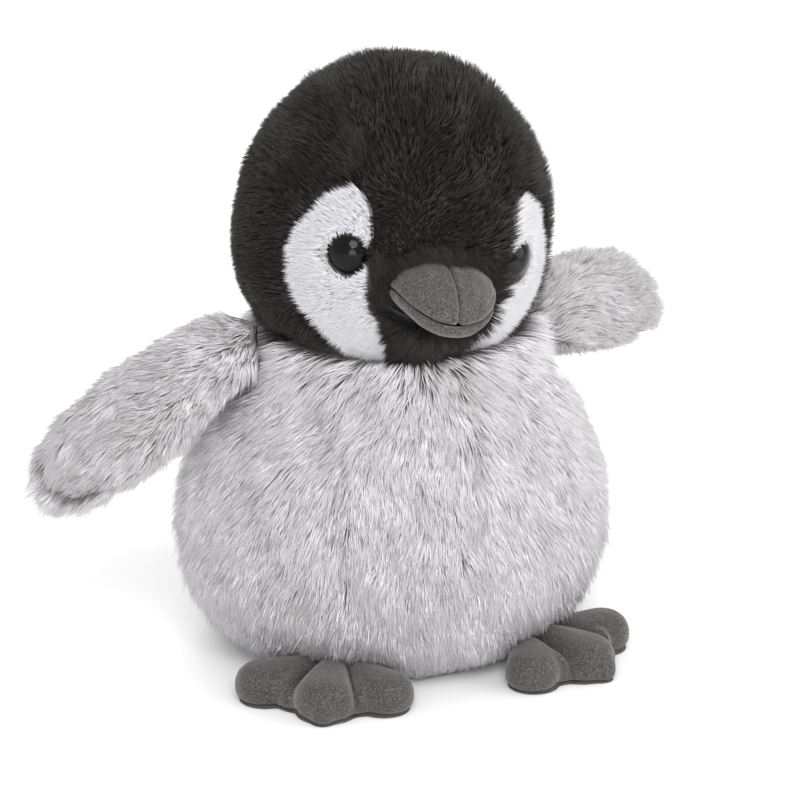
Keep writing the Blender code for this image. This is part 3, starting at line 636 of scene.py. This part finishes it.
def seam_allowance():
    """Cut edges of the black panels, turned in under their seams; returns the strip's triangles.

    The strip is wider round the beak's root, and in a hem under the hood's lower edge.
    """
    edges = panel_edges(("head_gusset", "head_side_left", "head_side_right", "chin_panel"))
    tree = KDTree(len(edges))
    rays = unit(edges)
    for index, ray in enumerate(rays):
        tree.insert(ray, index)
    tree.balance()
    radii = np.linalg.norm(edges, axis=1)
    mouth = unit(mouth_frame()[0] - HEAD_CENTRE)
    work = bmesh.new()
    bmesh.ops.create_icosphere(work, subdivisions=6, radius=1.0)
    depth, wide, root, hem = 3.1 * MM, 2.4 * MM, 6.5 * MM, 13 * MM
    root_cosine = cos(radians(27))
    hem_low, hem_high = sin(radians(-64)), sin(radians(-45))
    reach = {}
    for vert in work.verts:
        _, index, gap = tree.find(vert.co)
        close = float(np.dot(np.array(vert.co), mouth)) > root_cosine
        under = hem_low < float(np.dot(np.array(vert.co), HEAD_Z)) < hem_high
        if gap * radii[index] < (hem if under else root if close else wide):
            around = [found[1] for found in tree.find_n(vert.co, 8)]
            reach[vert.index] = float(np.median(radii[around])) - depth
    kept = [f for f in work.faces if all(v.index in reach for v in f.verts)]
    order = sorted({v.index for f in kept for v in f.verts})
    number = {old: new for new, old in enumerate(order)}
    work.verts.ensure_lookup_table()
    outer = np.array([np.array(work.verts[i].co) * reach[i] for i in order])
    faces = np.array([[number[v.index] for v in f.verts] for f in kept])
    work.free()
    cloth = 0.3 * MM
    inner = outer * (1 - cloth / np.linalg.norm(outer, axis=1))[:, None]
    sides = dict.fromkeys((f[a], f[b]) for f in faces for a, b in ((0, 1), (1, 2), (2, 0)))
    total = len(outer)
    rim = []
    for a, b in sides:
        if (b, a) not in sides:
            rim += [(b, a, a + total), (b, a + total, b + total)]
    triangles = np.concatenate([faces, faces[:, ::-1] + total, np.array(rim)])
    points = np.concatenate([outer, inner]) + HEAD_CENTRE
    made = mesh_object("head_seam_allowance", points, triangles, BLACK_CLOTH)
    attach(made, "head")
    return outer[faces] + HEAD_CENTRE


def seats_on(corners, count, rng):
    """Places spread over triangles of much the same size, facing away from the head's centre."""
    chosen = rng.integers(0, len(corners), count)
    share = rng.dirichlet((1.0, 1.0, 1.0), count)
    place = (corners[chosen] * share[:, :, None]).sum(axis=1)
    return place, unit(place - HEAD_CENTRE)


def seam_pile(corners):
    """Pile caught in the hood's seams, which closes them over the crown and the nape."""
    middle = unit(corners.mean(axis=1) - HEAD_CENTRE)
    climb = middle @ HEAD_Z
    crown = climb > sin(radians(21))
    nape = (middle @ HEAD_Y > 0.15) & (climb > sin(radians(-44)))
    count = 11000
    seats = seats_on(corners[crown | nape], count, np.random.default_rng(45))
    caught = Pile("black", length=7.4 * MM, width=0.27 * MM, lean=16.0, sunk=0.4 * MM, lock=0.2,
                  gather=0.32, swirl=40.0, bend=26.0)
    grow("head_seam_pile", "head_gusset", "head", HEAD_CENTRE[None], count, caught, from_beak, 46,
         None, even(BLACK_TONE), seats=seats)


def brow(corners):
    """Pile round the upper side of the beak's root, which hangs a little over its edge."""
    centre, wide, _, rise, _ = mouth_frame()
    middle = corners.mean(axis=1) - centre
    across, up = (middle @ HEAD_X) / wide, (middle @ HEAD_Z) / rise
    ring = np.hypot(across, up)
    round_root = (ring > 0.92) & (ring < 1.75) & (up > 0.05) & (middle @ HEAD_Y < 12 * MM)
    count = 7500
    seats = seats_on(corners[round_root], count, np.random.default_rng(36))
    beak_middle = centre - HEAD_Y * 6 * MM

    def over_beak(place, normal):
        return unit(beak_middle - place) + np.array([0.0, -0.3, 0.0])

    fringe = Pile("black", length=7.6 * MM, width=0.27 * MM, lean=16.0, sunk=0.2 * MM, lock=0.2,
                  gather=0.3, swirl=30.0, bend=16.0)
    # painted shade: the pile round the beak's root is darker, and fewer of its strands carry painted
    # glints
    darker = -0.24
    grow("beak_root_pile", "head_gusset", "head", HEAD_CENTRE[None], count, fringe, over_beak, 37,
         None, even(darker), seats=seats)


# ------------------------------------------------------------ flippers and tail
def limb(nodes, body, joint, pile, count, seed, sag, tone=0.0):
    """Pile on a two-faced limb, lying from its root to its tip and sagging by a share."""
    root = np.array(JOINTS[joint]["pos_m"])
    points = np.concatenate([welded(node)[0] for node in nodes])
    tip = root + (points.mean(axis=0) - root) * 2.0
    core = root + (tip - root) * np.linspace(0.0, 0.82, 12)[:, None]
    along = unit(tip - root)

    def flow(place, normal):
        return along + np.array([0.0, 0.0, -sag])

    for index, node in enumerate(nodes):
        grow(node + "_pile", node, body, core, count, pile, flow, seed + index, None, even(tone))
        backing(node, body, core, 2.6 * MM, "grey")


def flippers():
    """Grey pile with more dark locks than the body's; the left flipper's pile is darker, as painted
    shade.
    """
    pile = Pile("grey", length=8.0 * MM, width=0.34 * MM, lean=54.0, sunk=2.8 * MM, lock=0.045,
                gather=0.52, swirl=22.0, bend=22.0, dark=0.20)
    # painted shade: the left flipper's tone of -0.26 darkens its pile
    for side, seed, tone in (("left", 51, -0.26), ("right", 54, -0.02)):
        nodes = ["flipper_outer_" + side, "flipper_inner_" + side]
        limb(nodes, "flipper_" + side, "flipper_%s_lift" % side, pile, 12500, seed, 0.35, tone)


def tail():
    """Short stump of the same grey pile."""
    pile = Pile("grey", length=7.0 * MM, width=0.38 * MM, lean=45.0, sunk=2.4 * MM, lock=0.05,
                gather=0.5, swirl=20.0)
    limb(["tail_upper", "tail_under"], "tail", "tail_wag", pile, 2500, 61, 0.1)


# ------------------------------------------------------------ eyes
def eyes():
    """Turned domes, each with a flange and a stem that goes into the head."""
    radius, rise, flange, stem = 7.0 * MM, 5.9 * MM, 0.9 * MM, 1.7 * MM
    spokes = 56
    turns = [2 * pi * k / spokes for k in range(spokes)]
    look = eye_material(radius)
    for side in ("left", "right"):
        node = "eye_" + side
        points, _ = welded(node)
        out = unit(points.mean(axis=0) - HEAD_CENTRE)
        along = (points - HEAD_CENTRE) @ out
        top = along.max()
        work = bmesh.new()
        rows = [(0.0, 0.0)]
        rows += [(radius * sin(radians(a)), -rise * (1 - cos(radians(a)))) for a in range(4, 89, 4)]
        rows += [(radius, -rise), (radius * 0.96, -rise - flange), (stem, -rise - flange)]
        rows += [(stem, along.min() - top), (0.0, along.min() - top)]
        rings = []
        for far, height in rows:
            if far == 0.0:
                rings.append([work.verts.new((0.0, 0.0, height))])
                continue
            rings.append([work.verts.new((far * cos(a), far * sin(a), height)) for a in turns])
        for upper, lower in zip(rings, rings[1:]):
            for k in range(spokes):
                follow = (k + 1) % spokes
                if len(upper) == 1:
                    work.faces.new((upper[0], lower[k], lower[follow]))
                elif len(lower) == 1:
                    work.faces.new((upper[k], lower[0], upper[follow]))
                else:
                    work.faces.new((upper[k], lower[k], lower[follow], upper[follow]))
        bmesh.ops.recalc_face_normals(work, faces=work.faces)
        mesh = mesh_from(work, node + "_moulded")
        mesh.shade_smooth()
        mesh.set_sharp_from_angle(angle=radians(50))
        mesh.materials.append(look)
        made = new_object(node + "_moulded", mesh)
        turn = Vector((0, 0, 1)).rotation_difference(Vector(out)).to_matrix().to_4x4()
        made.matrix_world = Matrix.Translation(HEAD_CENTRE + out * top) @ turn
        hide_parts(node)
        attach(made, "head")


# ------------------------------------------------------------ padded suede
def settle(made):
    """Replace an object's mesh by what its modifiers make of it."""
    graph = bpy.context.evaluated_depsgraph_get()
    mesh = bpy.data.meshes.new_from_object(made.evaluated_get(graph))
    made.modifiers.clear()
    made.data = mesh


def inflate(made, cap, held):
    """Cloth simulation: stuffing pushes the cover out by at most cap; held points stay."""
    pressure, frames = 4.0, 16
    scene = bpy.context.scene
    rest = coordinates(made.data)
    group = made.vertex_groups.new(name="held")
    group.add([int(i) for i in np.nonzero(held)[0]], 1.0, "REPLACE")
    cloth = made.modifiers.new("stuffed", "CLOTH")
    cloth.settings.use_pressure = True
    cloth.settings.uniform_pressure_force = pressure
    cloth.settings.effector_weights.gravity = 0.0
    cloth.settings.vertex_group_mass = "held"
    cloth.settings.quality = 6
    cloth.point_cache.frame_start, cloth.point_cache.frame_end = 1, frames
    for step in range(1, frames + 1):
        scene.frame_set(step)
    graph = bpy.context.evaluated_depsgraph_get()
    blown = made.evaluated_get(graph).to_mesh()
    moved = coordinates(blown) - rest
    made.evaluated_get(graph).to_mesh_clear()
    made.modifiers.clear()
    far = np.linalg.norm(moved, axis=1, keepdims=True)
    moved *= np.minimum(1.0, cap / np.maximum(far, 1e-9))
    made.data.vertices.foreach_set("co", (rest + moved).astype(np.float32).ravel())
    made.data.update()
    scene.frame_set(1)


def rounded_bar(work, start, end, radius, height, floor):
    """Points of a stuffed lobe from start to end: a flattened capsule, cut flat at the floor."""
    rings, spokes = 7, 20
    fullness, middle_height = 0.62, 0.40
    points = []
    for centre, far in ((start, radius[0]), (end, radius[1])):
        for ring in range(rings + 1):
            climb = pi * ring / rings - pi / 2
            for spoke in range(spokes):
                turn = 2 * pi * spoke / spokes
                level = cos(climb) ** fullness if abs(climb) < pi / 2 - 1e-6 else 0.0
                z = max(height * (middle_height + 0.60 * sin(climb)), floor)
                points.append(work.verts.new((centre[0] + far * level * cos(turn),
                                              centre[1] + far * level * sin(turn), z)))
    bmesh.ops.remove_doubles(work, verts=points, dist=1e-6)


def foot(side):
    """A padded foot: three toes of one cover, stitched down between them."""
    joint = JOINTS["foot_%s_flex" % side]
    sign = 1.0 if side == "left" else -1.0
    axis = unit(np.array(joint["axis"]))
    forward = np.array([axis[1] * -1.0, axis[0], 0.0])
    forward = forward * (-1.0 if forward[1] > 0 else 1.0)
    outward = np.array([-forward[1], forward[0], 0.0])
    outward = outward * (1.0 if outward[0] * sign > 0 else -1.0)
    heel = np.array(joint["pos_m"]) * np.array([1.0, 1.0, 0.0]) - forward * 2.0 * MM
    node = "foot_upper_" + side
    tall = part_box(node)[1].z

    # Start and end (outward, forward), the radii there, in mm, and the share of the height:
    # outer, middle and inner toe, heel, the middle toe's end and two fillets at the webs.
    lobes = (((3.5, 7.0), (18.6, 15.2), (6.8, 8.3), 0.94), ((0.5, 7.0), (-1.2, 22.5), (8.0, 9.4), 1.0),
             ((-3.5, 7.0), (-17.4, 15.8), (6.8, 8.0), 0.92), ((-5.0, 8.5), (5.0, 8.5), (7.4, 7.4), 0.88),
             ((-1.0, 21.5), (-1.6, 29.6), (8.8, 3.8), 0.74), ((4.0, 11.0), (8.6, 18.4), (6.8, 6.0), 0.86),
             ((-4.0, 11.0), (-8.8, 18.8), (6.8, 6.0), 0.86))
    whole = bmesh.new()
    for start, end, radius, share in lobes:
        lobe = bmesh.new()
        ends = [heel[:2] + (outward[:2] * x + forward[:2] * y) * MM for x, y in (start, end)]
        rounded_bar(lobe, *ends, [r * MM for r in radius], tall * share, 0.8 * MM)
        bmesh.ops.convex_hull(lobe, input=lobe.verts)
        loose = [v for v in lobe.verts if not v.link_faces]
        bmesh.ops.delete(lobe, geom=loose, context="VERTS")
        piece = mesh_from(lobe, "lobe")
        whole.from_mesh(piece)
        bpy.data.meshes.remove(piece)
    made = new_object(node + "_stuffed", mesh_from(whole, node + "_stuffed"))
    remesh = made.modifiers.new("even", "REMESH")
    remesh.mode = "VOXEL"
    remesh.voxel_size = 0.75 * MM
    soften = made.modifiers.new("soften", "SMOOTH")
    soften.factor, soften.iterations = 0.5, 4
    settle(made)
    points = coordinates(made.data)
    inflate(made, 0.7 * MM, points[:, 2] < 1.2 * MM)

    # The stitched channels, from near the heel to between the toes' ends.
    channel_depth, narrow, broad = 2.3 * MM, 1.0 * MM, 2.6 * MM
    points = coordinates(made.data)
    local = np.stack([(points - heel) @ outward, (points - heel) @ forward], axis=1)
    for x0, x1 in ((3.2, 9.4), (-3.8, -10.2)):
        start, end = np.array([x0, 5.0]) * MM, np.array([x1, 25.5]) * MM
        run = end - start
        share = (((local - start) @ run) / (run @ run)).clip(0.0, 1.0)
        gap = np.linalg.norm(local - start - share[:, None] * run, axis=1)
        press = np.exp(-(gap / narrow) ** 2) * smooth((points[:, 2] - 1.0 * MM) / (4 * MM))
        press += 0.45 * np.exp(-(gap / broad) ** 2) * smooth((points[:, 2] - 2 * MM) / (5 * MM))
        points[:, 2] -= press * channel_depth
    points[:, 2] = np.maximum(points[:, 2], 0.6 * MM)
    made.data.vertices.foreach_set("co", points.astype(np.float32).ravel())
    made.modifiers.new("fine", "SUBSURF").levels = 1
    settle(made)
    made.data.shade_smooth()
    made.data.materials.clear()
    made.data.materials.append(SUEDE)
    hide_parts(node, "foot_stuffing_" + side)
    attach(made, "foot_" + side)
    sole(made, side)
    channel_stitches(made, side, heel, outward, forward)


def sole(upper, side):
    """Flat suede under the foot, just inside the upper's outline."""
    inset, ground, thickness = 0.955, 0.06 * MM, 0.05
    points = coordinates(upper.data)
    middle = points.mean(axis=0)
    flat = middle + (points - middle) * inset
    flat[:, 2] = ground + (points[:, 2] - points[:, 2].min()) * thickness
    made = mesh_object("foot_sole_%s_cloth" % side, flat, corner_indices(upper.data), SUEDE)
    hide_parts("foot_sole_" + side)
    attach(made, "foot_" + side)


def channel_stitches(upper, side, heel, outward, forward):
    """Short dark stitches that hold the cover down between the toes."""
    upper_tree = BVHTree.FromObject(upper, bpy.context.evaluated_depsgraph_get())
    count, first, pitch, radius = 7, 9.5, 1.75, 0.24 * MM
    for place, sign in (("outer", 1.0), ("inner", -1.0)):
        work = bmesh.new()
        for index in range(count):
            ends = []
            for half in (-0.5, 0.5):
                y = (first + pitch * (index + 0.5 * half)) * MM
                x = sign * (3.9 * MM + (y - 6.0 * MM) * 0.34)
                spot = heel + outward * x + forward * y + np.array([0.0, 0.0, 30 * MM])
                hit = upper_tree.ray_cast(Vector(spot), Vector((0, 0, -1)))[0]
                if hit is not None:
                    ends.append(hit)
            if len(ends) < 2:
                continue
            run = ends[1] - ends[0]
            turn = Vector((0, 0, 1)).rotation_difference(run.normalized()).to_matrix().to_4x4()
            middle = (ends[0] + ends[1]) / 2 + Vector((0, 0, 0.05 * MM))
            size = Matrix.Diagonal((radius, radius, run.length / 2 + 0.1 * MM, 1.0))
            bmesh.ops.create_uvsphere(work, u_segments=10, v_segments=8, radius=1.0,
                                      matrix=Matrix.Translation(middle) @ turn @ size)
        mesh = mesh_from(work, "stitches")
        mesh.shade_smooth()
        mesh.materials.append(THREAD)
        name = "toe_thread_%s_%s" % (place, side)
        made = new_object(name + "_stitches", mesh)
        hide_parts(name)
        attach(made, "foot_" + side)


def mouth_frame():
    """Centre of the beak at its root, in world axes, with its half width, reach, rise and drop."""
    upper = np.concatenate([welded("beak_upper_" + side)[0] for side in ("left", "right")]) - HEAD_CENTRE
    lower = welded("beak_lower")[0] - HEAD_CENTRE
    both = np.concatenate([upper, lower])
    wide = (both @ HEAD_X).max()
    back = (both @ HEAD_Y).max()
    mouth = (lower @ HEAD_Z).max()
    centre = HEAD_CENTRE + HEAD_Y * back + HEAD_Z * mouth
    reach = back - (both @ HEAD_Y).min()
    return centre, wide, reach, (upper @ HEAD_Z).max() - mouth, mouth - (lower @ HEAD_Z).min()


def beak():
    """Padded beak: an upper half on each side of the centre seam, and a lower lip."""
    centre, wide, reach, rise, drop = mouth_frame()
    parts = {"beak_upper_left": (0.0, 90.0, rise), "beak_upper_right": (-90.0, 0.0, rise),
             "beak_lower": (-90.0, 90.0, -drop)}
    thick, rows, columns = 0.9 * MM, 44, 64
    mouth_line, topstitch, centre_seam = 0.75 * MM, 0.42 * MM, 0.85 * MM     # depths of grooves
    for node, (first, last, tall) in parts.items():
        u, v = np.meshgrid(np.linspace(0, 1, columns), np.linspace(0, 1, rows), indexing="ij")
        turn = np.radians(first + (last - first) * u)
        climb = np.radians(2.0 + 86.0 * v)
        above = climb * abs(tall)
        over = np.cos(climb) ** (1.15 if tall > 0 else 1.0)
        ridge = np.abs(np.sin(turn)) * wide * over
        sink = mouth_line * np.exp(-(above / (0.9 * MM)) ** 2)
        if tall > 0:
            sink += topstitch * np.exp(-((above - 2.6 * MM) / (0.35 * MM)) ** 2)
            sink += centre_seam * np.exp(-(ridge / (0.55 * MM)) ** 2)
        shells = []
        for depth in (sink, sink + thick):
            narrow = 1.0 - (0.24 if tall > 0 else 0.12) * np.sin(climb)
            x = (wide - depth) * over * np.sin(turn) * narrow
            y = (reach - depth) * over * np.cos(turn)
            z = (abs(tall) - depth) * np.sin(climb) ** 0.92
            level = (z + 0.12 * MM) * (1.0 if tall > 0 else -1.0)
            droop = 3.4 * MM * (y / reach) ** 2 * np.abs(np.cos(turn)) ** 0.6
            corner = 2.8 * MM * np.abs(np.sin(turn)) ** 4 * np.cos(climb)
            level = level - droop + corner + 0.9 * MM
            split = 0.10 * MM * np.sign(first + last)
            place = (centre + (x + split)[..., None] * HEAD_X - y[..., None] * HEAD_Y
                     + level[..., None] * HEAD_Z).reshape(-1, 3)
            uneven = 0.13 * MM * waves(place, 5 * MM, 71)
            shells.append(place + unit(place - centre) * uneven[:, None])
        made = mesh_object(node + "_padded", np.concatenate(shells), doubled_sheet(columns, rows), SUEDE)
        face_outward(made)
        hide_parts(node, *(["beak_stuffing"] if tall < 0 else []))
        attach(made, "head")


# ------------------------------------------------------------ care label
def care_label():
    """Blank satin label that hangs out of the back seam."""
    low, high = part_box("care_label")
    middle = 0.5 * (low.x + high.x)
    columns, rows, half_thickness = 15, 17, 0.13 * MM
    across, down = np.meshgrid(np.linspace(0, 1, columns), np.linspace(0, 1, rows), indexing="ij")
    curl = 0.9 * MM * across ** 2 * np.cos(down * 2.6)
    y = low.y + across * (high.y - low.y)
    z = low.z + down * (high.z - low.z)
    layers = [np.stack([middle + curl + side * half_thickness, y, z], axis=-1).reshape(-1, 3)
              for side in (1, -1)]
    satin = plain_material("label_satin", (0.62, 0.62, 0.62), (0.72, 0.72, 0.72), 0.5 * MM, 0.45)
    made = mesh_object("care_label_satin", np.concatenate(layers), doubled_sheet(columns, rows), satin)
    face_outward(made)
    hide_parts("care_label")
    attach(made, "torso")


# ------------------------------------------------------------ kept inner parts
def inner_looks():
    """Procedural looks for the CAD pieces that stay, by a word in their names."""
    looks = {
        "stuffing": plain_material("fibre_fill", (0.70, 0.69, 0.67), (0.86, 0.85, 0.83), 1.5 * MM, 0.95),
        "pellet_bag": plain_material("pellet_cloth", (0.36, 0.35, 0.34), (0.46, 0.45, 0.44),
                                     0.8 * MM, 0.9),
        "washer": plain_material("washer_plastic", (0.55, 0.55, 0.55), (0.66, 0.66, 0.66), 2 * MM, 0.4),
        "closing_thread": plain_material("closing_thread", (0.34, 0.33, 0.33), (0.46, 0.45, 0.46),
                                         0.3 * MM, 0.8),
        "body_base_panel": cloth_material("base_cloth", (0.16, 0.15, 0.15), (0.34, 0.33, 0.34), 0.9 * MM),
    }
    for name, node in NODES.items():
        if not node.hide_render:
            word = next(word for word in looks if word in name)
            node.data.materials[0] = looks[word]


# ------------------------------------------------------------ studio
def studio():
    """Pale floor, even white surroundings and five soft lamps."""
    scene = bpy.context.scene
    scene.view_settings.view_transform = "Standard"
    world = bpy.data.worlds.new("studio")
    scene.world = world
    world.use_nodes = True
    back = world.node_tree.nodes["Background"]
    back.inputs["Color"].default_value = (1.0, 1.0, 1.0, 1.0)
    back.inputs["Strength"].default_value = 0.85

    mesh = bpy.data.meshes.new("floor")
    span = 6.0
    corners = [(-span, -span, 0), (span, -span, 0), (span, span, 0), (-span, span, 0)]
    mesh.from_pydata(corners, [], [(0, 1, 2, 3)])
    made, tree, shader = new_material("pale_floor", roughness=0.85, specular=0.2)
    shade = ramp(tree, [(0.3, (0.90, 0.90, 0.90)), (0.7, (0.93, 0.93, 0.93))], noise(tree, 0.4))
    tree.links.new(shade, shader.inputs["Base Color"])
    mesh.materials.append(made)
    floor = new_object("floor", mesh)

    lamps = (("key", (-0.35, -1.0, 0.95), 0.8, 10.0), ("fill", (0.9, -0.6, 0.35), 0.9, 5.0),
             ("low", (-0.5, -1.1, 0.12), 0.6, 4.0), ("back", (0.1, 0.9, 0.9), 0.8, 5.0),
             ("catch", (-0.50, -1.02, 0.62), 0.07, 0.9))
    for name, place, size, power in lamps:
        lamp = bpy.data.lights.new(name, "AREA")
        lamp.shape = "DISK"
        lamp.size = size
        lamp.energy = power
        made = new_object(name, lamp)
        made.location = place
        made.rotation_euler = (Vector((0, 0, 0.08)) - Vector(place)).to_track_quat("-Z", "Y").to_euler()


def camera():
    """Long lens from the front, a little from the toy's right and above."""
    data = bpy.data.cameras.new("camera")
    data.lens = 232.8
    made = new_object("camera", data)
    distance = 1.5
    bearing, height = radians(-21.5), radians(20.0)
    back = Vector((sin(bearing) * cos(height), -cos(bearing) * cos(height), sin(height)))
    target = Vector((2.1, -0.8, 72.5)) * MM
    made.location = target + back * distance
    made.rotation_euler = (-back).to_track_quat("-Z", "Y").to_euler()
    data.clip_start, data.clip_end = 0.05, 20.0
    bpy.context.scene.camera = made


studio()
camera()
torso()
head()
flippers()
tail()
eyes()
for side in ("left", "right"):
    foot(side)
beak()
care_label()
inner_looks()
